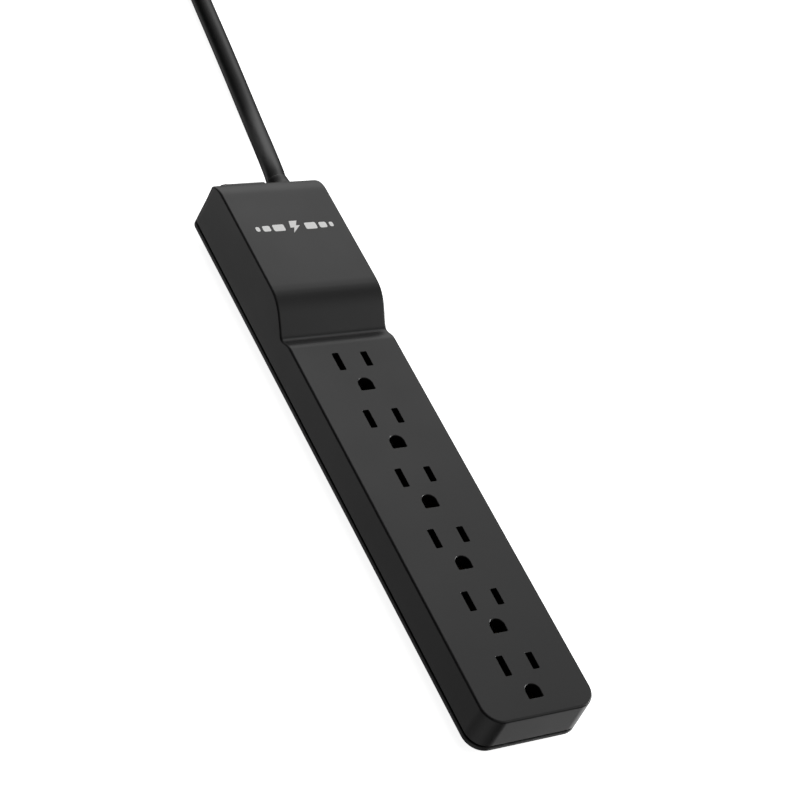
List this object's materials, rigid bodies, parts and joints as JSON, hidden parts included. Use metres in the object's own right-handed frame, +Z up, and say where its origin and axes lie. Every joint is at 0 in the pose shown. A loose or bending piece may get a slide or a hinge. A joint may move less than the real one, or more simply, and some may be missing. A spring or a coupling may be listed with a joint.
{
  "type": "surge protector power strip",
  "caption": "Black surge protector power strip with a row of grounded outlets, a raised head with a rocker switch, and a folded mains cord with its plug.",
  "frame": {"origin": "on the middle line of the housing's flat underside, 2 mm in front of the middle of its length, on the surface it stands on", "axes": "+Y along the housing from the outlets to the head and the cord, +Z up out of the outlet faces, +X towards the live slots"},
  "size_m": [0.0765, 0.6065, 0.031],
  "materials": {
    "housing_black": "fine-textured satin black",
    "label_foil": "satin silver label",
    "screw_steel": "zinc plated",
    "carrier_plastic": "natural nylon",
    "contact_brass": "bright stamped strip",
    "circuit_board": "green lacquered board",
    "varistor_blue": "dipped coating",
    "fuse_sleeve": "sleeved",
    "capacitor_yellow": "moulded case",
    "switch_black": "satin black",
    "rocker_red": "translucent red",
    "spring_steel": "bright wire",
    "contact_copper": "copper alloy strip",
    "terminal_tin": "tin plated",
    "lamp_glass": "clear with an orange glow",
    "cord_vinyl": "matte black vinyl",
    "wire_black": "matte",
    "wire_white": "matte",
    "wire_green": "matte",
    "tie_vinyl": "vinyl covered wire",
    "blade_nickel": "bright nickel plated"
  },
  "bodies": {
    "housing": {"top_shell": "housing_black", "bottom_cover": "housing_black", "rating_label": "label_foil", "housing_screw_1": "screw_steel", "housing_screw_2": "screw_steel", "housing_screw_3": "screw_steel", "housing_screw_4": "screw_steel", "housing_screw_5": "screw_steel", "housing_screw_6": "screw_steel", "contact_carrier": "carrier_plastic", "neutral_bus": "contact_brass", "live_bus": "contact_brass", "ground_bus": "contact_brass", "surge_board": "circuit_board", "varistor_1": "varistor_blue", "varistor_2": "varistor_blue", "varistor_3": "varistor_blue", "thermal_fuse": "fuse_sleeve", "film_capacitor": "capacitor_yellow", "switch_body": "switch_black", "line_terminal": "terminal_tin", "load_terminal": "terminal_tin", "lamp_terminal": "terminal_tin", "rocker_lamp": "lamp_glass", "strain_relief": "cord_vinyl", "live_wire": "wire_black", "switched_wire": "wire_black", "neutral_wire": "wire_white", "ground_wire": "wire_green", "cord_run": "cord_vinyl", "cord_hank": "cord_vinyl", "cord_tie": "tie_vinyl", "cord_tail": "cord_vinyl", "plug_relief": "cord_vinyl", "plug_body": "cord_vinyl", "neutral_blade": "blade_nickel", "live_blade": "blade_nickel", "ground_pin": "blade_nickel"},
    "rocker": {"rocker": "rocker_red", "rocker_spring": "spring_steel", "rocker_plunger": "carrier_plastic"},
    "moving_contact": {"moving_contact": "contact_copper"}
  },
  "joints": [
    {"name": "rocker_pivot", "type": "hinge", "parent": "housing", "child": "rocker", "pos_m": [-0.0065, 0.1272, 0.0166], "axis": [0, 0, 1], "range_deg": [0, 18]},
    {"name": "contact_pivot", "type": "hinge", "parent": "housing", "child": "moving_contact", "pos_m": [-0.0065, 0.1206, 0.0166], "axis": [0, 0, 1], "range_deg": [-14, 0]}
  ],
  "couplings": [
    {"joint": "contact_pivot", "follows": "rocker_pivot", "ratio": -0.7777}
  ]
}
